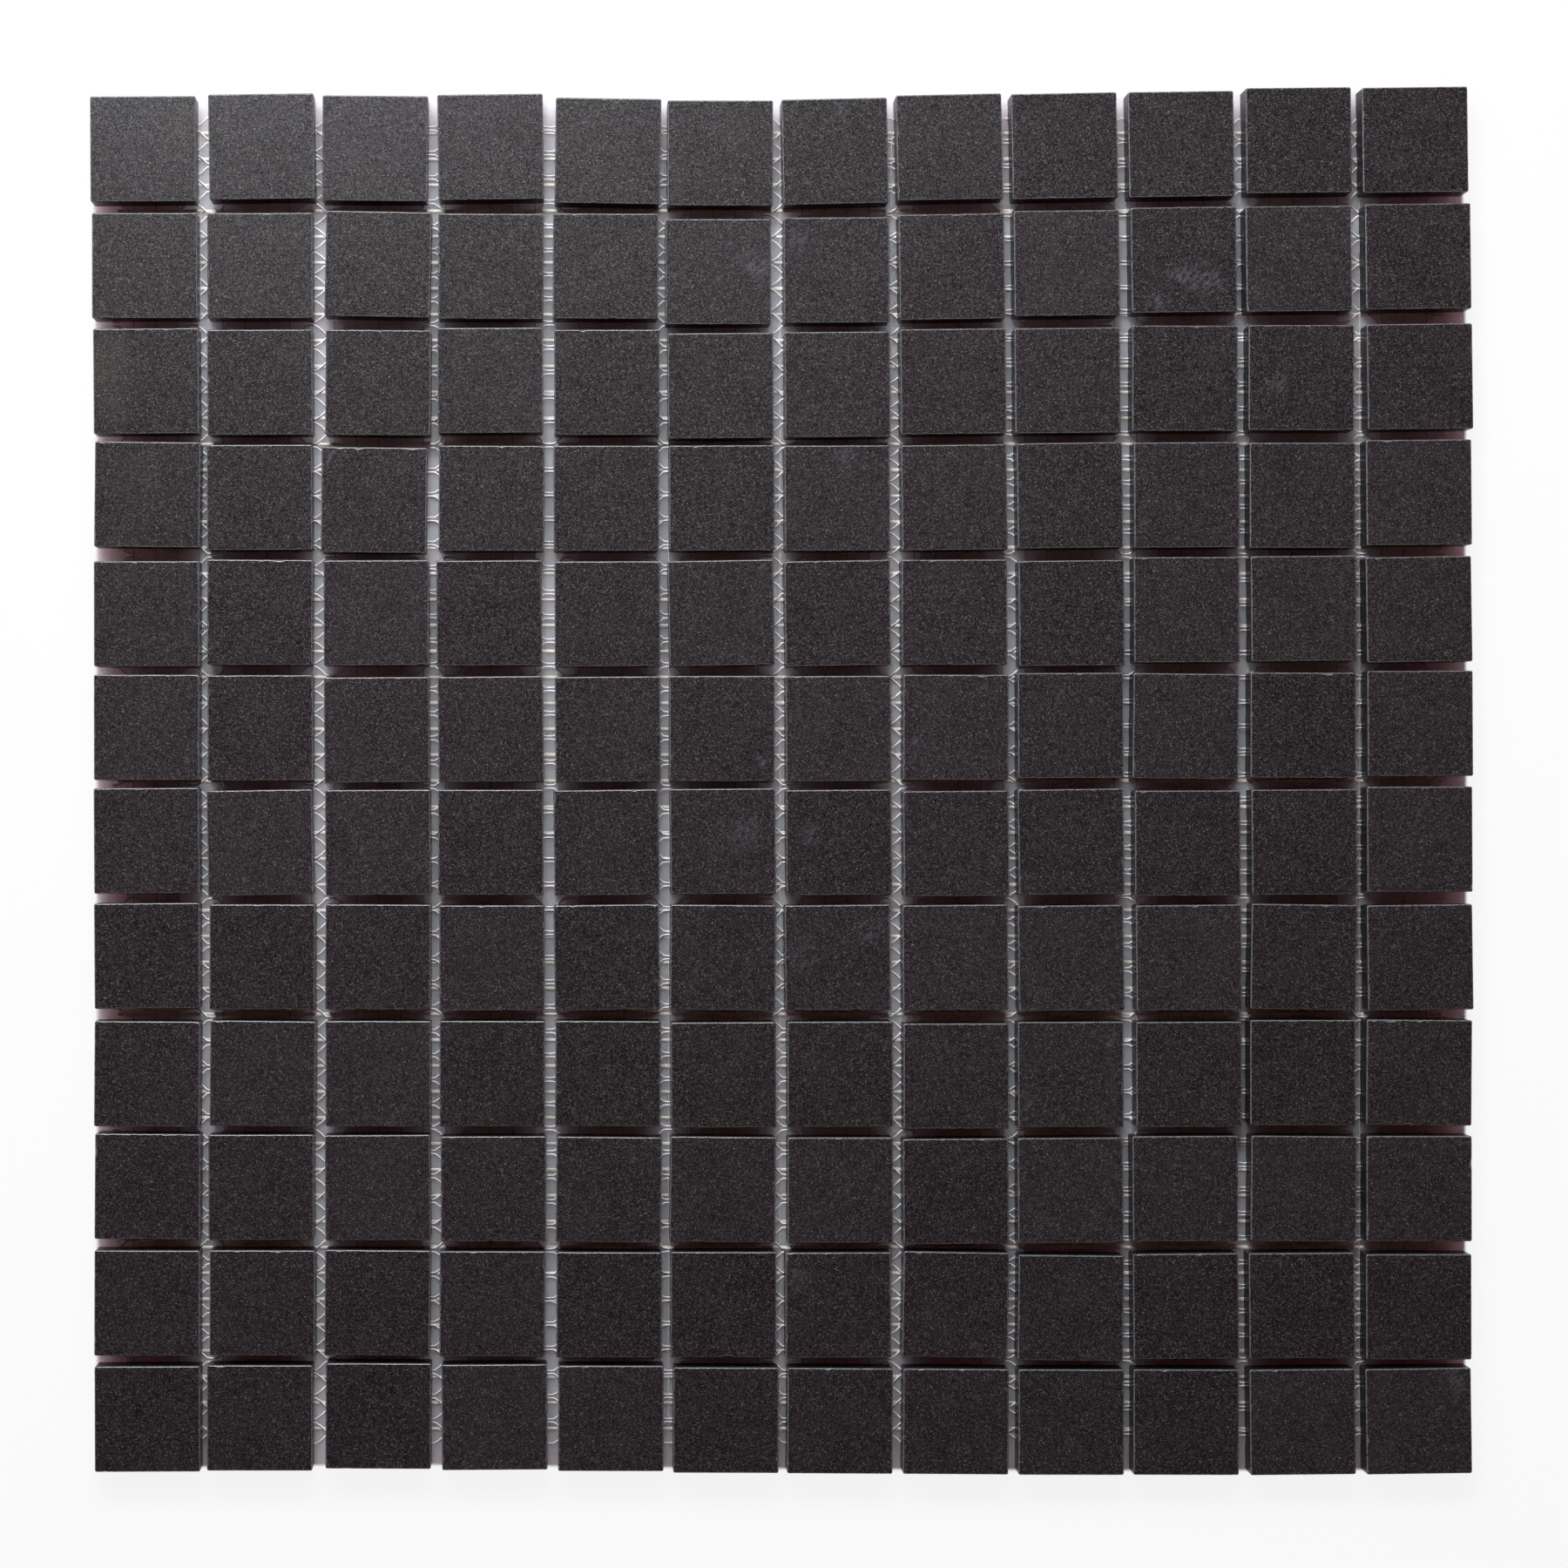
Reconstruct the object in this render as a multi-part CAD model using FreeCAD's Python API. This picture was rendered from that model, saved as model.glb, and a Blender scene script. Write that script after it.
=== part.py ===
"""Mosaic tile sheet: 144 square unglazed porcelain tiles held on a backing of glass-fibre yarns.

The sheet lies flat, faces up. The origin is the middle of the sheet's underside, +Z points up
through the tile faces, and +Y points to the far edge, where the backing has its wider margin.
All sizes are in millimetres.
"""

import FreeCAD
import Part

import math
import os

# Tiles
ROWS = 12
COLUMNS = 12
TILE_SIDE = 23.0
TILE_THICKNESS = 6.0
JOINT = 2.2
FACE_ARRIS = 0.3
UPRIGHT_CORNER_BEVEL = 0.4

# Keying grooves pressed into the back of each tile
GROOVES = 2
GROOVE_WIDTH = 4.0
GROOVE_DEPTH = 0.4

# How each tile was laid off a perfect grid, row by row from the far edge, each from left to right

# To the right of its place, in mm
LAID_RIGHT = (
    (-0.65, 0.01, -0.42, -0.40, -0.01, -0.70, -0.83, -1.08, -1.17, -0.94, -0.51, -0.29),
    (-0.27, -0.31, 0.24, -0.35, -0.51, -1.14, -0.53, -0.56, -0.69, -0.35, -0.48, 0.37),
    (0.05, -0.32, 0.28, -0.48, -0.22, -0.61, -0.32, -0.26, -0.53, -0.12, 0.07, 0.76),
    (0.30, -0.41, -0.65, -0.22, -0.35, -0.35, -0.36, -0.01, -0.01, 0.28, 0.31, 0.54),
    (0.15, -0.34, -0.12, -0.71, -0.12, -0.46, -0.27, 0.02, 0.36, 0.27, 0.62, 0.57),
    (0.15, -0.26, -0.02, -0.37, -0.02, -0.29, -0.09, 0.33, 0.15, 0.06, 0.51, 0.81),
    (0.16, -0.29, 0.23, -0.37, -0.29, -0.11, 0.01, 0.39, 0.23, 0.48, 0.75, 0.72),
    (0.25, 0.17, 0.26, -0.11, -0.21, -0.10, -0.23, 0.22, 0.24, 0.75, 0.61, 0.80),
    (0.25, 0.29, 0.28, -0.04, 0.02, 0.02, 0.27, 0.40, 0.17, 0.77, 0.42, 0.57),
    (0.35, -0.06, 0.19, 0.23, 0.20, -0.14, 0.31, 0.32, 0.13, -0.03, 0.58, 0.58),
    (0.25, 0.19, 0.13, -0.03, 0.27, 0.03, -0.14, 0.26, 0.20, 0.10, 0.20, 0.50),
    (0.32, -0.38, 0.31, 0.45, 0.64, 0.55, 0.23, 0.31, 0.27, 0.15, 0.37, 0.50),
)
# Towards the far edge from its place, in mm
LAID_FAR = (
    (0.10, 0.61, 0.22, 0.54, -0.34, -0.81, -0.42, 0.50, 0.77, 1.14, 1.98, 2.09),
    (-0.16, -0.16, 0.16, -0.32, -0.28, -1.49, -1.14, -0.39, 0.38, 1.12, 1.34, 1.85),
    (-0.16, -0.41, -0.48, 0.00, -0.43, -1.16, -0.89, -0.24, -0.03, 0.45, 0.57, 0.84),
    (0.31, -0.34, -0.89, -0.53, -0.52, -0.46, -0.49, -0.34, 0.10, 0.20, 0.11, 0.76),
    (-0.52, -0.21, -0.32, -0.36, -0.55, -0.35, -0.40, -0.20, -0.38, 0.35, 0.62, 0.44),
    (-0.10, -0.20, -0.64, -0.48, -0.51, -0.35, -0.37, -0.10, 0.29, 0.14, 0.35, 0.75),
    (0.38, -0.06, -0.01, 0.01, -0.02, 0.23, 0.00, -0.25, 0.13, -0.18, 0.07, 0.68),
    (0.45, 0.20, 0.19, -0.01, 0.11, 0.08, 0.06, 0.07, -0.03, 0.06, 0.19, 0.11),
    (-0.11, -0.02, -0.04, -0.04, -0.05, -0.33, -0.18, -0.59, -0.23, -0.22, 0.15, 0.19),
    (0.53, 0.37, 0.27, -0.01, -0.15, -0.12, -0.26, -0.55, -0.35, 0.04, 0.03, 0.06),
    (0.28, 0.31, 0.35, 0.11, -0.09, -0.04, -0.15, -0.06, -0.77, -0.40, -0.25, -0.53),
    (0.20, 0.44, 0.86, 0.61, 0.34, -0.05, -0.19, -0.33, -0.48, -0.49, -0.44, -0.25),
)
# Turned anticlockwise, in degrees
LAID_TURN_DEG = (
    (0.25, 0.77, -0.45, 0.70, -0.84, -0.09, 1.17, 1.17, 1.11, 0.80, 0.63, 0.70),
    (0.07, 0.25, -1.08, -0.24, -0.21, 0.07, 0.27, 0.90, 0.54, 0.76, 0.63, 0.69),
    (0.42, 0.26, -0.39, 0.27, 0.07, 0.40, 0.40, 0.62, 0.53, -0.07, -0.06, 0.71),
    (-0.62, 0.19, -0.59, -0.17, 0.08, 0.27, 0.23, 0.73, 0.74, 0.30, 0.01, 0.50),
    (0.06, -0.33, 0.17, 0.35, 0.18, 0.99, 0.89, 0.21, 0.55, 0.17, 0.47, 0.91),
    (0.05, 0.08, 0.39, 0.66, 0.41, 0.00, 0.33, -0.13, 0.22, -0.61, -0.06, 0.29),
    (0.35, 0.97, 0.28, 0.03, 0.72, 0.55, 0.44, 0.45, 0.82, 0.16, 0.42, 0.26),
    (0.38, -0.04, -0.31, 0.04, 0.71, -0.37, 0.59, 0.48, 0.67, 0.59, -0.76, 0.81),
    (-0.41, -0.61, -0.07, -0.04, -0.26, 0.31, 0.13, 0.15, 0.27, 0.19, 0.04, -0.42),
    (-0.40, 0.15, 0.26, 0.09, -0.53, -0.52, -0.01, 0.43, 0.39, 0.28, -0.47, 0.08),
    (-0.19, -0.12, -0.47, -0.17, -0.26, -0.06, 0.18, -0.96, -0.53, 0.54, 0.46, 0.11),
    (0.21, -0.01, -0.26, 0.36, -0.12, -0.17, -0.32, -0.40, -0.08, -0.13, 0.61, 0.79),
)

# Backing mesh: flat weft yarns along X on the floor, thin warp threads along Y on top of them
WEFT_PITCH = 5.7
WEFT_WIDTH = 0.7
WEFT_THICKNESS = 0.35
WARP_PITCH = 4.9
WARP_WIDTH = 0.3
WARP_THICKNESS = 0.35
YARN_FLAT = 0.6
MARGIN_SIDE = 4.5
MARGIN_FAR = 7.0
MARGIN_NEAR = 4.5

PITCH = TILE_SIDE + JOINT
SHEET_WIDTH = COLUMNS * PITCH - JOINT
SHEET_DEPTH = ROWS * PITCH - JOINT
TILE_BOTTOM = WEFT_THICKNESS + WARP_THICKNESS

X_AXIS = FreeCAD.Vector(1, 0, 0)
Z_AXIS = FreeCAD.Vector(0, 0, 1)


def face_of(points):
    """Flat face inside a closed outline."""
    return Part.Face(Part.makePolygon(points + points[:1]))


def tile_outline():
    """Square with its four corners bevelled, centred on the origin."""
    half = TILE_SIDE / 2
    inner = half - UPRIGHT_CORNER_BEVEL
    quarter = [FreeCAD.Vector(half, inner, 0), FreeCAD.Vector(inner, half, 0)]
    points = []
    for turn in range(4):
        turned = FreeCAD.Rotation(Z_AXIS, 90 * turn)
        points += [turned.multVec(p) for p in quarter]
    return points


def keying_grooves():
    """Shallow channels that run across the whole back of a tile."""
    spacing = TILE_SIDE / (GROOVES + 1)
    first = -TILE_SIDE / 2 + spacing
    channels = []
    for index in range(GROOVES):
        corner = FreeCAD.Vector(-TILE_SIDE, first + index * spacing - GROOVE_WIDTH / 2, -GROOVE_DEPTH)
        channels.append(Part.makeBox(2 * TILE_SIDE, GROOVE_WIDTH, 2 * GROOVE_DEPTH, corner))
    return Part.makeCompound(channels)


def pressed_tile():
    """One tile with its back on z = 0: bevelled face, bevelled corners and a grooved back."""
    block = face_of(tile_outline()).extrude(Z_AXIS * TILE_THICKNESS)
    face_edges = [
        edge for edge in block.Edges
        if all(abs(vertex.Z - TILE_THICKNESS) < 1e-6 for vertex in edge.Vertexes)
    ]
    return block.makeChamfer(FACE_ARRIS, face_edges).cut(keying_grooves())


def laid_place(row, column):
    """Where one tile ends up on the backing."""
    x = (column - (COLUMNS - 1) / 2) * PITCH + LAID_RIGHT[row][column]
    y = ((ROWS - 1) / 2 - row) * PITCH + LAID_FAR[row][column]
    turn = LAID_TURN_DEG[row][column]
    return FreeCAD.Placement(FreeCAD.Vector(x, y, TILE_BOTTOM), FreeCAD.Rotation(Z_AXIS, turn))


def tile_rows():
    """The rows of tiles, from the far edge of the sheet to the near one, centred on the origin."""
    tile = pressed_tile().Solids[0]
    rows = []
    for row in range(ROWS):
        laid = []
        for column in range(COLUMNS):
            piece = tile.copy()
            piece.Placement = laid_place(row, column)
            laid.append(piece)
        rows.append(Part.makeCompound(laid))
    middle = Part.makeCompound(rows).BoundBox.Center
    return [row.translated(FreeCAD.Vector(-middle.x, -middle.y, 0)) for row in rows]


def yarn_section(width, thickness):
    """Flattened six-sided yarn section in the YZ plane, resting on z = 0."""
    flat = width * YARN_FLAT / 2
    corners = [
        (-flat, 0), (flat, 0), (width / 2, thickness / 2),
        (flat, thickness), (-flat, thickness), (-width / 2, thickness / 2),
    ]
    return face_of([FreeCAD.Vector(0, y, z) for y, z in corners])


def centred_places(pitch, low, high):
    """Multiples of the pitch that lie between two limits."""
    return [index * pitch for index in range(math.ceil(low / pitch), math.floor(high / pitch) + 1)]


def weft_yarns(left, right, near, far):
    """Yarns along X, resting on the floor."""
    section = yarn_section(WEFT_WIDTH, WEFT_THICKNESS)
    yarn = section.extrude(X_AXIS * (right - left))
    places = centred_places(WEFT_PITCH, near + WEFT_WIDTH / 2, far - WEFT_WIDTH / 2)
    return Part.makeCompound([yarn.translated(FreeCAD.Vector(left, y, 0)) for y in places])


def warp_yarns(left, right, near, far):
    """Yarns along Y, lying on the weft yarns and under the tiles."""
    section = yarn_section(WARP_WIDTH, WARP_THICKNESS)
    yarn = section.extrude(X_AXIS * (far - near))
    yarn.rotate(FreeCAD.Vector(0, 0, 0), Z_AXIS, 90)
    places = centred_places(WARP_PITCH, left + WARP_WIDTH / 2, right - WARP_WIDTH / 2)
    return Part.makeCompound([yarn.translated(FreeCAD.Vector(x, near, WEFT_THICKNESS)) for x in places])


def sheet_parts():
    """Every node of the sheet by name."""
    left = MARGIN_SIDE - SHEET_WIDTH / 2
    right = SHEET_WIDTH / 2 - MARGIN_SIDE
    near = MARGIN_NEAR - SHEET_DEPTH / 2
    far = SHEET_DEPTH / 2 - MARGIN_FAR
    parts = {f"tile_row_{number:02d}": row for number, row in enumerate(tile_rows(), 1)}
    parts["backing_weft_yarns"] = weft_yarns(left, right, near, far)
    parts["backing_warp_yarns"] = warp_yarns(left, right, near, far)
    return parts


os.makedirs("parts", exist_ok=True)
for name, shape in sheet_parts().items():
    shape.exportStep(f"parts/{name}.step")
    box = shape.BoundBox
    print(name, len(shape.Solids), "solids, valid", shape.isValid(),
          "x", round(box.XMin, 2), round(box.XMax, 2),
          "y", round(box.YMin, 2), round(box.YMax, 2),
          "z", round(box.ZMin, 2), round(box.ZMax, 2),
          "volume", round(shape.Volume, 1))
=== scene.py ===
"""Looks of a mosaic tile sheet: porcelain tiles, glass-fibre yarns and a clear net of glue."""

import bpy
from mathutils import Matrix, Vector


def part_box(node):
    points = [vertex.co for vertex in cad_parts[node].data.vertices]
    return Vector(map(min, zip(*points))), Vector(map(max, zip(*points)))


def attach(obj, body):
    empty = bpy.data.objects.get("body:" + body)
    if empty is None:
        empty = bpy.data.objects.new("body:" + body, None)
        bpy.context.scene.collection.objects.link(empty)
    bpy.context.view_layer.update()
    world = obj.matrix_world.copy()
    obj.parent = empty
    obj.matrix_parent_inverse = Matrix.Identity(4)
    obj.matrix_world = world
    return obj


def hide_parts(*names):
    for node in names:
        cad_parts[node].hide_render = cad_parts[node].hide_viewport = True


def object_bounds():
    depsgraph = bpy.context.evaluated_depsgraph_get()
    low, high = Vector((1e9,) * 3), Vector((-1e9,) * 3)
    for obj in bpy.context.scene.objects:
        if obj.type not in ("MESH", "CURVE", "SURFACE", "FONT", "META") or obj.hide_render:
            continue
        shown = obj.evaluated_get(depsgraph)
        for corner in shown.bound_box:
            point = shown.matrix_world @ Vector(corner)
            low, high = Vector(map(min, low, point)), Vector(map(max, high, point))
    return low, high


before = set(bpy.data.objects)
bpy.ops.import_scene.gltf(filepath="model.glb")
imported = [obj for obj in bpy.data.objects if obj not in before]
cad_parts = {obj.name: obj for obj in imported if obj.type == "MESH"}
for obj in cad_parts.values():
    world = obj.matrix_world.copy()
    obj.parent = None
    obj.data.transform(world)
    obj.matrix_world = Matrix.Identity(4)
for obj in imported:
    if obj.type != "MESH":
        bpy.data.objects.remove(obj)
CAD_BOX = [list(corner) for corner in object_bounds()]

import math
import random

import bmesh
import bpy
from mathutils import Matrix, Vector, noise

bl_info = {
    "name": "Mosaic Tile Sheet",
    "version": (1, 0, 0),
    "blender": (4, 5, 0),
    "location": "3D View > Sidebar > Mosaic",
    "description": "Dresses a sheet of unglazed mosaic tiles and sets it on a studio floor",
    "category": "Object",
}

MM = 0.001
ROW_NODES = sorted(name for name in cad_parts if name.startswith("tile_row_"))
WEFT_NODE = "backing_weft_yarns"
WARP_NODE = "backing_warp_yarns"
FACE_HEIGHT = CAD_BOX[1][2]
WELD = 0.001 * MM

# Fineness of the patterns in the finishes, in cells per metre
GRAIN = 4900
SAND = 5200
SIDE_SAND = 4200
SIDE_MARKS = (2400, 2400, 160)
CLOUD = 110
STROKES = 900
SMUDGE_EDGES = 260
FILAMENTS_ALONG = 90
FILAMENTS_ACROSS = 7000
FILAMENTS_DEEP = 3000
YARN_SIZE_AND_GLINTS = 160
GLUE_CLOUD = 420
GLUE_LUMPS = 1300
PAPER = 700

# Fineness of the wander of edges, yarns and strands, in waves per millimetre
NICK_WAVES = 1.6
CHIP_WAVES = 0.45
YARN_WAVES = 0.07
YARN_RIPPLE = 3.1
YARN_WIDTH_WAVES = 0.12
STRAND_WAVES = 0.35
STRAND_SLOW_WAVES = 0.03
STRAND_SLIP_WAVES = 0.3

# How far a strand of the net strays, in millimetres
STRAND_STRAY = 0.09
STRAND_SLOW_STRAY = 0.25
STRAND_SLIP = 0.1

# A chip starts where its noise, between -1 and 1, is above this
CHIP_START = 0.38

# Places in the noise that keep one pattern apart from another
CHIP_SPOT = Vector((7, 3, 5))
SLIP_SPOT = Vector((9, 9, 9))

# Floor: half its fine part, cells of that part along a side, growth of its rim, gap to the sheet
FLOOR_HALF = 0.17
FLOOR_CELLS = 136
FLOOR_SPREAD = 20
FLOOR_GAP = 0.05 * MM

# Lamp: place, size and power. Room: strength of its light
LAMP_PLACE = Vector((-0.15, 0.56, 0.58))
LAMP_WIDTH = 0.415
LAMP_DEPTH = 0.25
LAMP_WATTS = 11.6
ROOM_STRENGTH = 0.085

# Camera: what it sees, from how high, and from over which spot
VIEW_WIDTH = 342 * MM
VIEW_HEIGHT = 750 * MM
VIEW_MIDDLE_X = 0.47 * MM
CAMERA_X = -48.93 * MM
CAMERA_Y = -0.68 * MM

# Sockets of a colour Mix node
MIX_FACTOR = 0
MIX_A = 6
MIX_B = 7
MIX_RESULT = 2


def node_height(node):
    """Thickness of a node that lies flat."""
    low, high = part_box(node)
    return high.z - low.z


class SheetSizes(bpy.types.PropertyGroup):
    """Sizes of the tiles and of the backing."""

    tile_side: bpy.props.FloatProperty(
        name="Tile side", description="Width and depth of one tile",
        default=23 * MM, unit="LENGTH", precision=4)
    tile_thickness: bpy.props.FloatProperty(
        name="Tile thickness", description="From the back of a tile to its face",
        default=node_height(ROW_NODES[0]), unit="LENGTH", precision=4)
    corner_radius: bpy.props.FloatProperty(
        name="Corner radius", description="Rounding of a tile's upright corners",
        default=0.4 * MM, unit="LENGTH", precision=5)
    arris: bpy.props.FloatProperty(
        name="Arris", description="Width of the worn edge round a tile's face",
        default=0.2 * MM, unit="LENGTH", precision=5)
    arris_cuts: bpy.props.IntProperty(
        name="Arris cuts", description="Cuts along each side that let the worn edge wander",
        default=44, min=0)
    nick: bpy.props.FloatProperty(
        name="Nick", description="Depth of the fine nicks along a worn edge",
        default=0.09 * MM, unit="LENGTH", precision=5)
    chip: bpy.props.FloatProperty(
        name="Chip", description="Depth of the few larger chips",
        default=0.8 * MM, unit="LENGTH", precision=5)
    groove_width: bpy.props.FloatProperty(
        name="Groove width", description="Width of a keying groove in the back",
        default=4 * MM, unit="LENGTH", precision=4)
    groove_depth: bpy.props.FloatProperty(
        name="Groove depth", description="Depth of a keying groove in the back",
        default=0.4 * MM, unit="LENGTH", precision=5)
    yarn_step: bpy.props.FloatProperty(
        name="Yarn step", description="Distance between the sections of a yarn",
        default=4.5 * MM, unit="LENGTH", precision=4)
    yarn_wander: bpy.props.FloatProperty(
        name="Yarn wander", description="How far a yarn strays from its line",
        default=0.12 * MM, unit="LENGTH", precision=5)
    net_cell_width: bpy.props.FloatProperty(
        name="Net cell width", description="Distance between columns of net cells",
        default=4.361 * MM, unit="LENGTH", precision=5)
    net_start: bpy.props.FloatProperty(
        name="Net start", description="Where a column of net cells has its middle",
        default=1.67 * MM, unit="LENGTH", precision=5)
    net_cell_height: bpy.props.FloatProperty(
        name="Net cell height", description="Distance between the cells in one column",
        default=5.36 * MM, unit="LENGTH", precision=5)
    net_strand: bpy.props.FloatProperty(
        name="Net strand", description="Width of one strand of the net",
        default=0.42 * MM, unit="LENGTH", precision=5)
    net_flatness: bpy.props.FloatProperty(
        name="Net flatness", description="Thickness of a strand as a share of its width",
        default=0.55, min=0, max=1, subtype="FACTOR")
    net_bar_gap: bpy.props.FloatProperty(
        name="Net bar gap", description="Distance between two strands where they run together",
        default=0.62 * MM, unit="LENGTH", precision=5)
    net_margin_far: bpy.props.FloatProperty(
        name="Net margin, far", description="Bare margin between the net and the far edge",
        default=6.5 * MM, unit="LENGTH", precision=4)
    net_margin: bpy.props.FloatProperty(
        name="Net margin", description="Bare margin between the net and the other edges",
        default=4.2 * MM, unit="LENGTH", precision=4)


def colour_property(name, description, default):
    """A colour that a user may change."""
    return bpy.props.FloatVectorProperty(
        name=name, description=description, default=default, subtype="COLOR", size=3, min=0, max=1)


class SheetColours(bpy.types.PropertyGroup):
    """Colours of the finishes, as linear values."""

    body: colour_property("Tile body", "Dark through-coloured porcelain", (0.0228, 0.0186, 0.0180))
    body_cool: colour_property("Tile body, cool", "Bluer grains", (0.0182, 0.0170, 0.0217))
    # The side colour is painted shade: darker and bluer than the body, for the shade in the narrow
    # joints.
    side: colour_property("Tile side", "Dull pressed sides of the tiles", (0.0105, 0.0108, 0.0135))
    grit: colour_property("Grit", "Pale mineral grains in the body", (0.11, 0.105, 0.105))
    dust: colour_property("Dust", "Chalky smudges left from handling", (0.100, 0.103, 0.122))
    stain: colour_property("Stain", "Warm dull stains", (0.088, 0.083, 0.066))
    worn: colour_property("Worn edge", "Rubbed pale along the arris", (0.160, 0.164, 0.174))
    yarn: colour_property("Weft yarn", "Sized glass fibre", (0.86, 0.82, 0.72))
    warp: colour_property("Warp yarn", "Thin clear glass fibre", (0.98, 0.93, 0.88))
    net: colour_property("Net", "Clear glue net", (0.97, 0.935, 0.98))
    floor: colour_property("Floor", "Pale floor under the sheet", (0.86, 0.79, 0.825))
    key: colour_property("Key light", "Soft daylight from the far side", (0.94, 0.97, 1.0))
    room: colour_property("Room light", "Dim warm light from all round", (1.0, 0.42, 0.34))


# Chalky smudges on the tile faces: middle and radius in mm, strength
SMUDGES = (
    ((-5.4, 112.2), 4.6, 0.70),
    ((3.7, 117.3), 4.6, 0.30),
    ((13.0, 146.4), 2.3, 0.75),
    ((92.8, 108.6), 5.8, 0.50),
    ((87.5, 110.3), 4.4, 0.55),
    ((81.4, 104.8), 2.0, 0.60),
    ((108.2, 86.5), 3.8, 0.35),
    ((14.5, 71.1), 3.4, 0.35),
    ((-98.5, 70.8), 1.8, 0.60),
    ((-47.6, 94.5), 2.8, 0.30),
    ((-4.5, 4.4), 2.4, 0.70),
    ((28.6, 8.8), 2.2, 0.35),
    ((-8.0, -11.5), 5.0, 0.45),
    ((5.8, -12.1), 4.0, 0.30),
    ((19.3, -33.0), 4.6, 0.35),
    ((4.1, -39.3), 4.2, 0.35),
    ((71.5, -56.4), 3.2, 0.40),
    ((53.5, -70.4), 3.8, 0.30),
    ((2.8, -107.8), 5.4, 0.30),
    ((41.9, -123.6), 1.6, 0.50),
    ((8.8, -117.0), 0.9, 1.20),
    ((147.0, -130.8), 4.2, 0.45),
)
# Warm stains, likewise
STAINS = (
    ((-148.0, 91.0), 10.0, 0.45),
    ((-146.0, 82.0), 7.0, 0.30),
    ((-130.0, 142.0), 8.0, 0.16),
    ((-139.0, 66.0), 8.0, 0.14),
)


class Wire:
    """A number that varies over a surface. Arithmetic on it adds Math nodes."""

    def __init__(self, finish, socket):
        self.finish = finish
        self.socket = socket

    def math(self, operation, *operands, clamp=False):
        return self.finish.node(
            "ShaderNodeMath", {"operation": operation, "use_clamp": clamp},
            dict(enumerate(operands)))

    def __add__(self, other):
        return self.math("ADD", self, other)

    __radd__ = __add__

    def __sub__(self, other):
        return self.math("SUBTRACT", self, other)

    def __rsub__(self, other):
        return self.math("SUBTRACT", other, self)

    def __mul__(self, other):
        return self.math("MULTIPLY", self, other)

    __rmul__ = __mul__

    def clamped(self):
        return self.math("ADD", self, 0.0, clamp=True)

    def between(self, low, high):
        """0 below low and 1 above high, with a smooth step between them."""
        return self.finish.node(
            "ShaderNodeMapRange", {"interpolation_type": "SMOOTHSTEP"},
            {"Value": self, "From Min": low, "From Max": high})


class Finish:
    """A material in the making, with its Principled surface at hand."""

    def __init__(self, name, **constants):
        self.material = bpy.data.materials.new(name)
        self.material.use_nodes = True
        self.tree = self.material.node_tree
        self.surface = self.tree.nodes["Principled BSDF"]
        for socket, value in constants.items():
            self.surface.inputs[socket.replace("_", " ")].default_value = value

    def node(self, kind, settings=None, inputs=None, output=0):
        """Adds a node, gives it its settings and then its inputs, and returns one output."""
        node = self.tree.nodes.new(kind)
        for name, value in (settings or {}).items():
            setattr(node, name, value)
        for socket, value in (inputs or {}).items():
            self.feed(node.inputs[socket], value)
        return Wire(self, node.outputs[output])

    def feed(self, socket, value):
        """Links a wire to a socket, or sets the socket to a plain value."""
        if isinstance(value, Wire):
            self.tree.links.new(value.socket, socket)
        elif socket.type == "RGBA":
            socket.default_value = (*value, 1.0)
        else:
            socket.default_value = value

    def drive(self, **values):
        """Feeds values to sockets of the surface."""
        for socket, value in values.items():
            self.feed(self.surface.inputs[socket.replace("_", " ")], value)

    def place(self):
        """Where a point lies on the object."""
        return self.node("ShaderNodeTexCoord", output="Object")

    def stretched(self, vector, scale):
        return self.node("ShaderNodeMapping", {}, {"Vector": vector, "Scale": scale})

    def slanted(self, vector):
        """Coordinates that draw a pattern out into short slanting strokes."""
        turned = self.node("ShaderNodeMapping", {}, {"Vector": vector, "Rotation": (0, 0, -0.8)})
        return self.stretched(turned, (0.45, 1.3, 1))

    def noise(self, vector, scale, detail=2.0, roughness=0.5):
        return self.node(
            "ShaderNodeTexNoise", {},
            {"Vector": vector, "Scale": scale, "Detail": detail, "Roughness": roughness})

    def attribute(self, name):
        return self.node("ShaderNodeAttribute", {"attribute_name": name}, output="Fac")

    def mix(self, factor, first, second):
        """Blend of two colours."""
        return self.node(
            "ShaderNodeMix", {"data_type": "RGBA"},
            {MIX_FACTOR: factor, MIX_A: first, MIX_B: second}, output=MIX_RESULT)

    def scaled(self, colour, amount):
        """A colour made lighter or darker by a number."""
        return self.node(
            "ShaderNodeVectorMath", {"operation": "SCALE"}, {"Vector": colour, "Scale": amount})

    def bump(self, height, strength, distance):
        return self.node(
            "ShaderNodeBump", {}, {"Height": height, "Strength": strength, "Distance": distance})


def smudged(finish, place, marks, pattern):
    """How dirty a point of a tile face is, by marks with wandering outlines and a pattern."""
    wander = finish.node(
        "ShaderNodeTexNoise", {},
        {"Vector": place, "Scale": SMUDGE_EDGES, "Detail": 2}, output="Color")
    reach = 5 * MM
    warped = finish.node(
        "ShaderNodeVectorMath", {"operation": "MULTIPLY_ADD"},
        {0: wander, 1: (reach, reach, 0), 2: place})
    total = 0.0
    for (x, y), radius, strength in marks:
        middle = (x * MM + reach / 2, y * MM + reach / 2, FACE_HEIGHT)
        away = finish.node(
            "ShaderNodeVectorMath", {"operation": "DISTANCE"},
            {0: warped, 1: middle}, output="Value")
        total = total + (1.0 - away.between(0.0, radius * MM)) * strength
    return (total * pattern).clamped()


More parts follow.
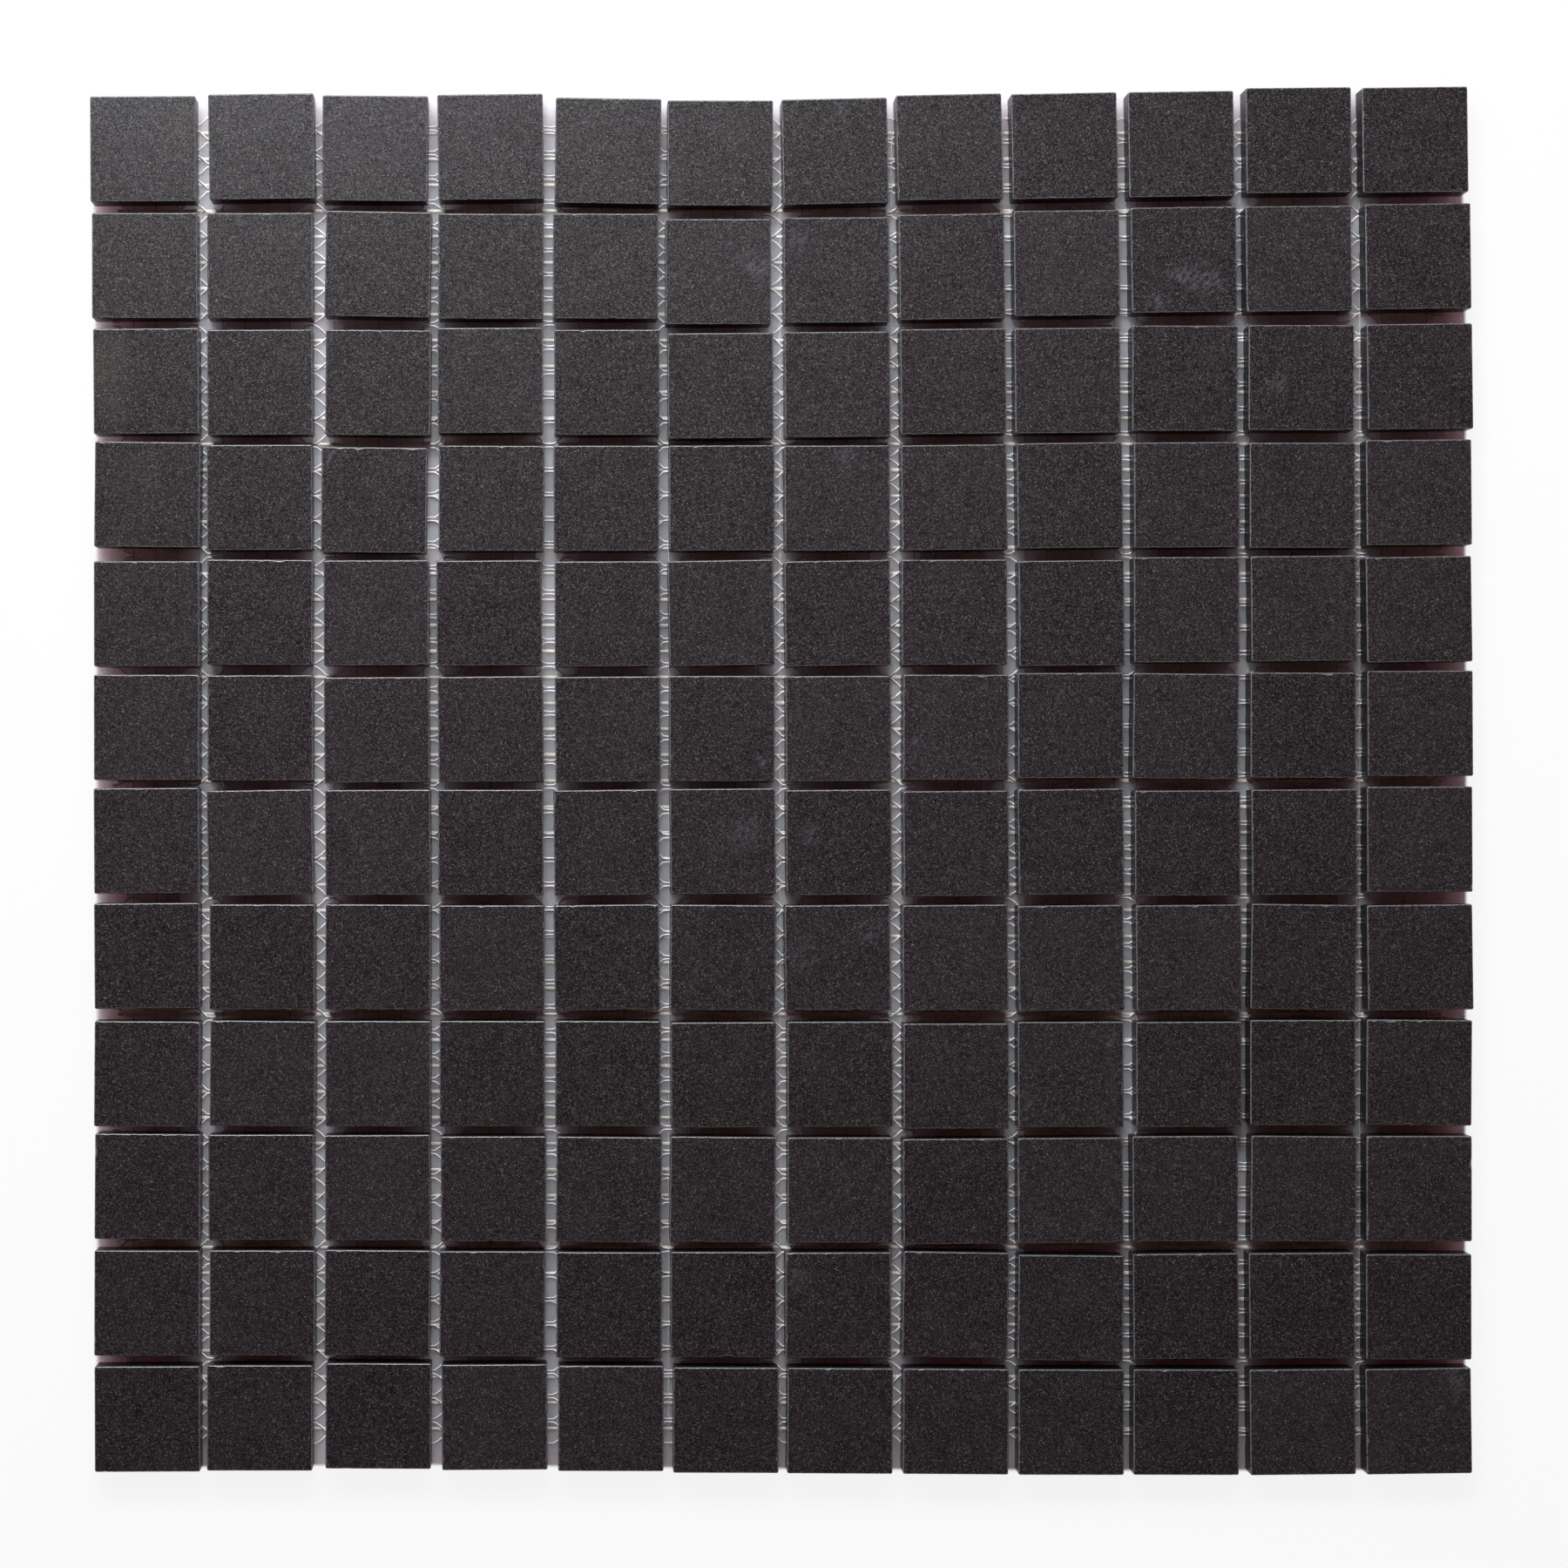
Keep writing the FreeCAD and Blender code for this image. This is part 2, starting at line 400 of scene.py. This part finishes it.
def porcelain_finish(colours):
    """Unglazed dark porcelain: sandy grain, pale grit, chalky smudges and a pale worn arris."""
    finish = Finish("black_porcelain", Specular_IOR_Level=0.5)
    place = finish.place()
    cell = finish.node(
        "ShaderNodeTexVoronoi", {}, {"Vector": place, "Scale": GRAIN}, output="Color")
    chance = finish.node("ShaderNodeSeparateColor", {}, {"Color": cell}, output="Red")
    hue = finish.node("ShaderNodeSeparateColor", {}, {"Color": cell}, output="Green")
    sand = finish.noise(place, SAND, detail=2, roughness=0.6)
    cloud = finish.noise(place, CLOUD, detail=4, roughness=0.6)
    strokes = finish.noise(finish.slanted(place), STROKES, detail=4, roughness=0.7)
    chalk = strokes.between(0.44, 0.6)
    mottle = sand.between(0.35, 0.65)
    tone = finish.attribute("tone")
    worn = finish.attribute("arris") * sand.between(0.34, 0.58)
    shade = 0.37 + chance * chance * 2.1 + (sand - 0.5) * 0.6 + (cloud - 0.5) * 0.6 + tone
    base = finish.mix(hue, colours.body, colours.body_cool)
    body = finish.scaled(base, shade.math("MAXIMUM", shade, 0.05))
    gritty = finish.mix(chance.between(0.94, 1.0), body, colours.grit)
    stained = finish.mix(smudged(finish, place, STAINS, mottle), gritty, colours.stain)
    dusty = finish.mix(smudged(finish, place, SMUDGES, chalk), stained, colours.dust)
    rough = 0.28 + (chance - 0.5) * 0.12 + (sand - 0.5) * 0.2
    finish.drive(
        Base_Color=finish.mix(worn, dusty, colours.worn),
        Roughness=rough,
        Normal=finish.bump(sand, 0.3, 0.05 * MM))
    return finish.material


def side_painted_shade_finish(colours):
    """Pressed side of a tile: the body painted darker and bluer as shade in the joints, dull, with
    faint upright press marks.
    """
    finish = Finish("black_porcelain_side_painted_shade", Specular_IOR_Level=0.05)
    place = finish.place()
    sand = finish.noise(place, SIDE_SAND, detail=2, roughness=0.6)
    marks = finish.noise(finish.stretched(place, SIDE_MARKS), 1.0, detail=2)
    finish.drive(
        # Side colour is painted shade, lifted a little by sand and press marks.
        Base_Color=finish.scaled(colours.side, 0.3 + sand * 0.9 + marks * 0.5),
        Roughness=0.2 + sand * 0.15,
        Normal=finish.bump(sand, 0.3, 0.05 * MM))
    return finish.material


def yarn_finish(name, colour, stretch, alpha):
    """Glass fibre: many fine filaments along the yarn, held by a size, with brighter and darker
    stretches that are partly painted glints.
    """
    finish = Finish(name, Specular_IOR_Level=0.5, Alpha=alpha)
    place = finish.place()
    filaments = finish.noise(finish.stretched(place, stretch), 1.0, detail=3, roughness=0.6)
    size = finish.noise(place, YARN_SIZE_AND_GLINTS, detail=2)
    finish.drive(
        # The size noise makes stretches of yarn brighter or darker: partly uneven size, partly
        # painted glints of the filament bundles.
        Base_Color=finish.scaled(colour, 0.55 + filaments * 0.7 + (size - 0.5) * 1.2),
        Roughness=0.45 + (filaments - 0.5) * 0.3,
        Normal=finish.bump(filaments, 0.6, 0.05 * MM))
    return finish.material


def net_finish(colours):
    """Clear set glue: glossy, a little cloudy and lumpy."""
    finish = Finish("clear_glue", Specular_IOR_Level=0.5, IOR=1.46)
    place = finish.place()
    cloud = finish.noise(place, GLUE_CLOUD, detail=2)
    lumps = finish.noise(place, GLUE_LUMPS, detail=2)
    finish.drive(
        Base_Color=finish.scaled(colours.net, 0.86 + cloud * 0.24),
        Roughness=0.16 + cloud * 0.16,
        Normal=finish.bump(lumps, 0.4, 0.08 * MM))
    return finish.material


def floor_finish(colours):
    """Pale floor with some depth, which the camera sees white outside the sheet."""
    finish = Finish(
        "pale_floor", Roughness=0.9, Specular_IOR_Level=0.2,
        Subsurface_Weight=1.0, Subsurface_Radius=(1.0, 0.90, 0.86), Subsurface_Scale=15 * MM)
    paper = finish.noise(finish.place(), PAPER, detail=2)
    finish.drive(Base_Color=finish.scaled(colours.floor, 0.97 + paper * 0.06))
    seen = [
        finish.node("ShaderNodeLightPath", output=ray)
        for ray in ("Is Camera Ray", "Is Glossy Ray", "Is Transmission Ray")
    ]
    outside = finish.attribute("beyond").between(-0.2 * MM, 0.8 * MM)
    white = finish.node("ShaderNodeEmission", {}, {"Color": (1, 1, 1), "Strength": 1.0})
    blend = finish.node("ShaderNodeMixShader", {}, {
        0: (seen[0] + seen[1] + seen[2]).clamped() * outside * 0.88,
        1: Wire(finish, finish.surface.outputs[0]),
        2: white,
    })
    finish.feed(finish.tree.nodes["Material Output"].inputs["Surface"], blend)
    return finish.material


def islands(bm):
    """The separate solids of a mesh, as lists of their vertices."""
    waiting = set(bm.verts)
    while waiting:
        found = [waiting.pop()]
        for vert in found:
            for edge in vert.link_edges:
                other = edge.other_vert(vert)
                if other in waiting:
                    waiting.remove(other)
                    found.append(other)
        yield found


def welded_copy(node):
    """A copy of a node's mesh with its loose triangles joined."""
    bm = bmesh.new()
    bm.from_mesh(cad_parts[node].data)
    bmesh.ops.remove_doubles(bm, verts=bm.verts, dist=WELD)
    bm.normal_update()
    return bm


def laid_places(node):
    """Placement of each tile of a row, from its left end to its right end."""
    bm = welded_copy(node)
    places = []
    for island in islands(bm):
        walls = {face for vert in island for face in vert.link_faces if abs(face.normal.z) < 0.01}
        wall = max(walls, key=lambda face: face.calc_area())
        angle = math.atan2(wall.normal.y, wall.normal.x)
        turn = (angle + math.pi / 4) % (math.pi / 2) - math.pi / 4
        floor = min(vert.co.z for vert in island)
        top = max(vert.co.z for vert in island)
        rim = [vert.co for vert in island if vert.co.z > top - WELD]
        middle = sum(rim, Vector()) / len(rim)
        spot = Matrix.Translation((middle.x, middle.y, floor))
        places.append(spot @ Matrix.Rotation(turn, 4, "Z"))
    bm.free()
    return sorted(places, key=lambda place: place.translation.x)


def tile_profile(sizes):
    """Outline of a tile seen from its side: a rectangle with two keying grooves in its back."""
    half = sizes.tile_side / 2
    outline = [(half, 0), (half, sizes.tile_thickness), (-half, sizes.tile_thickness), (-half, 0)]
    for middle in (-sizes.tile_side / 6, sizes.tile_side / 6):
        left = middle - sizes.groove_width / 2
        right = middle + sizes.groove_width / 2
        outline += [(left, 0), (left, sizes.groove_depth), (right, sizes.groove_depth), (right, 0)]
    return outline


def pressed_tile(sizes):
    """One tile about the origin with its back on z = 0, ready for its arris to be worn."""
    bm = bmesh.new()
    half = sizes.tile_side / 2
    top = sizes.tile_thickness
    side = bm.faces.new([bm.verts.new((-half, y, z)) for y, z in tile_profile(sizes)])
    run = bmesh.ops.extrude_face_region(bm, geom=[side])
    moved = [item for item in run["geom"] if isinstance(item, bmesh.types.BMVert)]
    bmesh.ops.translate(bm, verts=moved, vec=(sizes.tile_side, 0, 0))
    bmesh.ops.recalc_face_normals(bm, faces=bm.faces)
    uprights = [
        edge for edge in bm.edges
        if abs(edge.calc_length() - top) < WELD
        and all(abs(vert.co.y) > half - WELD for vert in edge.verts)
    ]
    bmesh.ops.bevel(
        bm, geom=uprights, offset=sizes.corner_radius, affect="EDGES",
        segments=3, profile=0.5, material=-1)
    rim = [edge for edge in bm.edges if all(vert.co.z > top - WELD for vert in edge.verts)]
    bmesh.ops.bevel(
        bm, geom=rim, offset=sizes.arris, affect="EDGES",
        segments=2, profile=0.5, material=-1)
    long_edges = [
        edge for edge in bm.edges
        if edge.calc_length() > sizes.tile_side * 0.9
        and all(vert.co.z > top - sizes.arris - WELD for vert in edge.verts)
    ]
    bmesh.ops.subdivide_edges(bm, edges=long_edges, cuts=sizes.arris_cuts, use_grid_fill=True)
    mesh = bpy.data.meshes.new("pressed_tile")
    bm.to_mesh(mesh)
    bm.free()
    return mesh


def wear_arris(verts, place, sizes):
    """Nicks and chips the worn edge of one tile, by a pattern that differs from tile to tile."""
    core = sizes.tile_side / 2 - sizes.corner_radius
    top = sizes.tile_thickness
    for vert in verts:
        height = vert.co.z - top
        if height < -sizes.arris - WELD:
            continue
        flat = Vector((vert.co.x, vert.co.y, 0))
        inner = Vector([max(-core, min(core, value)) for value in flat])
        outward = (flat - inner).normalized()
        spot = (place @ vert.co) / MM
        depth = sizes.nick * (0.5 + noise.noise(spot * NICK_WAVES))
        depth += sizes.chip * max(0.0, noise.noise(spot * CHIP_WAVES + CHIP_SPOT) - CHIP_START)
        sunk = -height / sizes.arris
        vert.co -= outward * depth * (1 - sunk)
        vert.co.z -= depth * sunk * 0.8


def join_tile(bm, mesh, place, sizes):
    """Adds one laid tile to a row and returns its new faces."""
    before_verts = len(bm.verts)
    before_faces = len(bm.faces)
    bm.from_mesh(mesh)
    bm.verts.ensure_lookup_table()
    bm.faces.ensure_lookup_table()
    verts = bm.verts[before_verts:]
    wear_arris(verts, place, sizes)
    bmesh.ops.transform(bm, matrix=place, verts=verts)
    return bm.faces[before_faces:]


def finished_piece(name, bm, materials, nodes=()):
    """Turns a bmesh into a piece that rides on the sheet and stands for CAD nodes."""
    mesh = bpy.data.meshes.new(name)
    bm.to_mesh(mesh)
    bm.free()
    for material in materials:
        mesh.materials.append(material)
    piece = bpy.data.objects.new(name, mesh)
    bpy.context.scene.collection.objects.link(piece)
    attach(piece, "root")
    if nodes:
        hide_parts(*nodes)


def tile_row(node, mesh, materials, sizes, chance):
    """One row of worn tiles in place of its CAD node."""
    bm = bmesh.new()
    tone_layer = bm.faces.layers.float.new("tone")
    arris_layer = bm.faces.layers.float.new("arris")
    for place in laid_places(node):
        tone = chance.uniform(-0.12, 0.12)
        for face in join_tile(bm, mesh, place, sizes):
            face[tone_layer] = tone
    bm.normal_update()
    for face in bm.faces:
        rubbed = 0.1 < face.normal.z < 0.98
        face[arris_layer] = float(rubbed)
        # Upright faces get the side finish with its painted shade.
        face.material_index = int(abs(face.normal.z) < 0.1)
        face.smooth = rubbed
    finished_piece(node.replace("tile", "porcelain"), bm, materials, [node])


def yarn_bar(length, width, thickness, step):
    """One straight yarn along X about the origin, with rounded edges and many sections."""
    bm = bmesh.new()
    bmesh.ops.create_cube(bm, size=1.0)
    bmesh.ops.scale(bm, verts=bm.verts, vec=(length, width, thickness))
    long_edges = [edge for edge in bm.edges if edge.calc_length() > length - WELD]
    bmesh.ops.bevel(
        bm, geom=long_edges, offset=thickness * 0.4, affect="EDGES",
        segments=2, profile=0.5, material=-1)
    for index in range(1, int(length / step)):
        cut = Vector((index * step - length / 2, 0, 0))
        bmesh.ops.bisect_plane(
            bm, geom=bm.verts[:] + bm.edges[:] + bm.faces[:], plane_co=cut, plane_no=(1, 0, 0))
    mesh = bpy.data.meshes.new("yarn_bar")
    bm.to_mesh(mesh)
    bm.free()
    return mesh


def strayed(spot, along, sizes):
    """Sideways shift of a yarn at one spot: slow along the yarn, and its own for each yarn."""
    slow = Vector((spot.x, spot.y, 0)) / MM
    slow[along] *= YARN_WAVES
    return sizes.yarn_wander * (noise.noise(slow) + 0.4 * noise.noise(slow * YARN_RIPPLE))


def yarn_layer(node, along, material, sizes):
    """The yarns of one CAD node, with their real wander and changing width."""
    across = 1 - along
    solids = welded_copy(node)
    bm = bmesh.new()
    mesh = None
    for island in islands(solids):
        low = Vector([min(vert.co[axis] for vert in island) for axis in range(3)])
        high = Vector([max(vert.co[axis] for vert in island) for axis in range(3)])
        size = high - low
        mesh = mesh or yarn_bar(size[along], size[across], size.z, sizes.yarn_step)
        before = len(bm.verts)
        bm.from_mesh(mesh)
        bm.verts.ensure_lookup_table()
        verts = bm.verts[before:]
        turn = Matrix.Rotation(math.pi / 2 * along, 4, "Z")
        bmesh.ops.transform(bm, matrix=Matrix.Translation((low + high) / 2) @ turn, verts=verts)
        middle = (low[across] + high[across]) / 2
        for vert in verts:
            wave = Vector((vert.co[along] / MM * YARN_WIDTH_WAVES, middle / MM, 3))
            spread = 1 + 0.3 * noise.noise(wave)
            shift = strayed(Vector(vert.co), along, sizes)
            vert.co[across] = middle + (vert.co[across] - middle) * spread + shift
    solids.free()
    for face in bm.faces:
        face.smooth = True
    finished_piece("glass_fibre_" + node.split("_")[1], bm, [material], [node])


def strand_line(index, left, right, sizes):
    """Points along one wavy strand of the net. Strands next to each other meet in bars."""
    sway = sizes.net_cell_height / 4 - sizes.net_bar_gap / 2
    side = 1 if index % 2 else -1
    step = sizes.net_cell_width / 4
    base = index * sizes.net_cell_height / 2
    points = []
    for number in range(int((right - left) / step) + 1):
        x = left + number * step
        wave = math.tanh(2 * math.cos(math.pi * (x - sizes.net_start) / sizes.net_cell_width))
        spot = Vector((x, base, 0)) / MM
        stray = STRAND_STRAY * noise.noise(spot * STRAND_WAVES)
        stray += STRAND_SLOW_STRAY * noise.noise(spot * STRAND_SLOW_WAVES)
        slip = STRAND_SLIP * noise.noise(spot * STRAND_SLIP_WAVES + SLIP_SPOT)
        points.append((x + slip * MM, base + side * sway * wave + stray * MM))
    return points


def net_part(name, indices, left, right, height, material, sizes):
    """Some of the strands of the net, as one mesh of thin tubes."""
    curve = bpy.data.curves.new(name, "CURVE")
    curve.dimensions = "3D"
    curve.bevel_depth = sizes.net_strand / 2
    curve.bevel_resolution = 0
    for index in indices:
        points = strand_line(index, left, right, sizes)
        spline = curve.splines.new("POLY")
        spline.points.add(len(points) - 1)
        for point, (x, y) in zip(spline.points, points):
            point.co = (x, y, height, 1)
    model = bpy.data.objects.new(name + "_line", curve)
    mesh = bpy.data.meshes.new_from_object(model)
    bpy.data.objects.remove(model)
    bm = bmesh.new()
    bm.from_mesh(mesh)
    bmesh.ops.holes_fill(bm, edges=[edge for edge in bm.edges if edge.is_boundary])
    bmesh.ops.scale(
        bm, verts=bm.verts, vec=(1, 1, sizes.net_flatness),
        space=Matrix.Translation((0, 0, -height)))
    bmesh.ops.recalc_face_normals(bm, faces=bm.faces)
    for face in bm.faces:
        face.smooth = True
    finished_piece(name, bm, [material])


class MOSAIC_OT_tiles(bpy.types.Operator):
    """Make the rows of worn porcelain tiles"""

    bl_idname = "mosaic.tiles"
    bl_label = "Porcelain Tiles"

    def execute(self, context):
        sizes = context.scene.mosaic_sizes
        colours = context.scene.mosaic_colours
        materials = [porcelain_finish(colours), side_painted_shade_finish(colours)]
        mesh = pressed_tile(sizes)
        chance = random.Random(7)
        for node in ROW_NODES:
            tile_row(node, mesh, materials, sizes, chance)
        bpy.data.meshes.remove(mesh)
        return {"FINISHED"}


class MOSAIC_OT_yarns(bpy.types.Operator):
    """Make the two layers of glass-fibre yarns"""

    bl_idname = "mosaic.yarns"
    bl_label = "Glass-Fibre Yarns"

    def execute(self, context):
        sizes = context.scene.mosaic_sizes
        colours = context.scene.mosaic_colours
        along_x = (FILAMENTS_ALONG, FILAMENTS_ACROSS, FILAMENTS_DEEP)
        along_y = (FILAMENTS_ACROSS, FILAMENTS_ALONG, FILAMENTS_DEEP)
        weft = yarn_finish("glass_fibre_weft", colours.yarn, along_x, 1.0)
        warp = yarn_finish("glass_fibre_warp", colours.warp, along_y, 0.2)
        yarn_layer(WEFT_NODE, 0, weft, sizes)
        yarn_layer(WARP_NODE, 1, warp, sizes)
        return {"FINISHED"}


class MOSAIC_OT_net(bpy.types.Operator):
    """Make the clear net of glue strands that holds the tiles to the yarns"""

    bl_idname = "mosaic.net"
    bl_label = "Clear Net"

    def execute(self, context):
        sizes = context.scene.mosaic_sizes
        low, high = Vector(CAD_BOX[0]), Vector(CAD_BOX[1])
        left, right = low.x + sizes.net_margin, high.x - sizes.net_margin
        spacing = sizes.net_cell_height / 2
        first = math.ceil((low.y + sizes.net_margin) / spacing)
        last = math.floor((high.y - sizes.net_margin_far) / spacing)
        warp_low, warp_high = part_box(WARP_NODE)
        height = (warp_low.z + warp_high.z) / 2
        material = net_finish(context.scene.mosaic_colours)
        middle = (first + last) // 2
        net_part("clear_net_near", range(first, middle), left, right, height, material, sizes)
        net_part("clear_net_far", range(middle, last + 1), left, right, height, material, sizes)
        return {"FINISHED"}


class MOSAIC_OT_studio(bpy.types.Operator):
    """Set up the floor, the soft light and the camera"""

    bl_idname = "mosaic.studio"
    bl_label = "Studio"

    def execute(self, context):
        colours = context.scene.mosaic_colours
        studio_floor(colours, context.scene.mosaic_sizes)
        key_lamp(colours)
        room_light(colours)
        photo_camera()
        context.scene.view_settings.view_transform = "Standard"
        return {"FINISHED"}


def height_at(points, along):
    """Height of a chain of (along, height) points over one spot, level past its ends."""
    if along <= points[0][0]:
        return points[0][1]
    for (start, low), (end, high) in zip(points, points[1:]):
        if along <= end:
            return low + (high - low) * (along - start) / (end - start)
    return points[-1][1]


def studio_floor(colours, sizes):
    """A wide floor just under the sheet, which knows how far each spot is past the outer tiles."""
    rows = [[place.translation for place in laid_places(node)] for node in ROW_NODES]
    half = sizes.tile_side / 2
    far = [(spot.x, spot.y + half) for spot in rows[0]]
    near = [(spot.x, half - spot.y) for spot in rows[-1]]
    left = [(row[0].y, half - row[0].x) for row in reversed(rows)]
    right = [(row[-1].y, row[-1].x + half) for row in reversed(rows)]
    bm = bmesh.new()
    beyond = bm.verts.layers.float.new("beyond")
    bmesh.ops.create_grid(bm, x_segments=FLOOR_CELLS, y_segments=FLOOR_CELLS, size=FLOOR_HALF)
    for vert in bm.verts:
        x, y, _ = vert.co
        vert[beyond] = max(
            y - height_at(far, x), -y - height_at(near, x),
            -x - height_at(left, y), x - height_at(right, y))
    rim = [vert for vert in bm.verts if vert.is_boundary]
    bmesh.ops.scale(bm, verts=rim, vec=(FLOOR_SPREAD, FLOOR_SPREAD, 1))
    bmesh.ops.translate(bm, verts=bm.verts, vec=(0, 0, -FLOOR_GAP))
    mesh = bpy.data.meshes.new("studio_floor")
    bm.to_mesh(mesh)
    bm.free()
    mesh.materials.append(floor_finish(colours))
    floor = bpy.data.objects.new("studio_floor", mesh)
    bpy.context.scene.collection.objects.link(floor)


def key_lamp(colours):
    """One soft lamp beyond the far edge, too low to reach into the joints along X."""
    light = bpy.data.lights.new("key_lamp", "AREA")
    light.shape = "RECTANGLE"
    light.size = LAMP_WIDTH
    light.size_y = LAMP_DEPTH
    light.energy = LAMP_WATTS
    light.color = colours.key
    lamp = bpy.data.objects.new("key_lamp", light)
    lamp.location = LAMP_PLACE
    lamp.rotation_euler = (-LAMP_PLACE).to_track_quat("-Z", "Y").to_euler()
    bpy.context.scene.collection.objects.link(lamp)


def room_light(colours):
    """Dim warm light from all round, with a white surround for the camera."""
    world = bpy.data.worlds.new("room")
    bpy.context.scene.world = world
    world.use_nodes = True
    nodes = world.node_tree.nodes
    links = world.node_tree.links
    surround = nodes["Background"]
    surround.inputs["Color"].default_value = (*colours.room, 1)
    surround.inputs["Strength"].default_value = ROOM_STRENGTH
    white = nodes.new("ShaderNodeBackground")
    white.inputs["Color"].default_value = (1, 1, 1, 1)
    ray = nodes.new("ShaderNodeLightPath")
    blend = nodes.new("ShaderNodeMixShader")
    links.new(ray.outputs["Is Camera Ray"], blend.inputs[0])
    links.new(surround.outputs[0], blend.inputs[1])
    links.new(white.outputs[0], blend.inputs[2])
    links.new(blend.outputs[0], nodes["World Output"].inputs["Surface"])


def photo_camera():
    """The camera looks straight down from over the left part of the sheet."""
    data = bpy.data.cameras.new("photo_camera")
    data.sensor_width = 36.0
    data.lens = data.sensor_width * VIEW_HEIGHT / VIEW_WIDTH
    data.shift_x = (VIEW_MIDDLE_X - CAMERA_X) / VIEW_WIDTH
    data.clip_start = 0.02
    camera = bpy.data.objects.new("photo_camera", data)
    camera.location = (CAMERA_X, CAMERA_Y, FACE_HEIGHT + VIEW_HEIGHT)
    bpy.context.scene.collection.objects.link(camera)
    bpy.context.scene.camera = camera


class MOSAIC_PT_sheet(bpy.types.Panel):
    """Steps that dress the mosaic sheet"""

    bl_label = "Mosaic Sheet"
    bl_idname = "MOSAIC_PT_sheet"
    bl_space_type = "VIEW_3D"
    bl_region_type = "UI"
    bl_category = "Mosaic"

    def draw(self, context):
        for step in STEPS:
            self.layout.operator(step.bl_idname)


STEPS = (MOSAIC_OT_tiles, MOSAIC_OT_yarns, MOSAIC_OT_net, MOSAIC_OT_studio)
CLASSES = (SheetSizes, SheetColours, *STEPS, MOSAIC_PT_sheet)


def register():
    for cls in CLASSES:
        bpy.utils.register_class(cls)
    bpy.types.Scene.mosaic_sizes = bpy.props.PointerProperty(type=SheetSizes)
    bpy.types.Scene.mosaic_colours = bpy.props.PointerProperty(type=SheetColours)


def unregister():
    del bpy.types.Scene.mosaic_sizes
    del bpy.types.Scene.mosaic_colours
    for cls in reversed(CLASSES):
        bpy.utils.unregister_class(cls)


def main():
    register()
    bpy.ops.mosaic.tiles()
    bpy.ops.mosaic.yarns()
    bpy.ops.mosaic.net()
    bpy.ops.mosaic.studio()


if __name__ == "__main__":
    main()
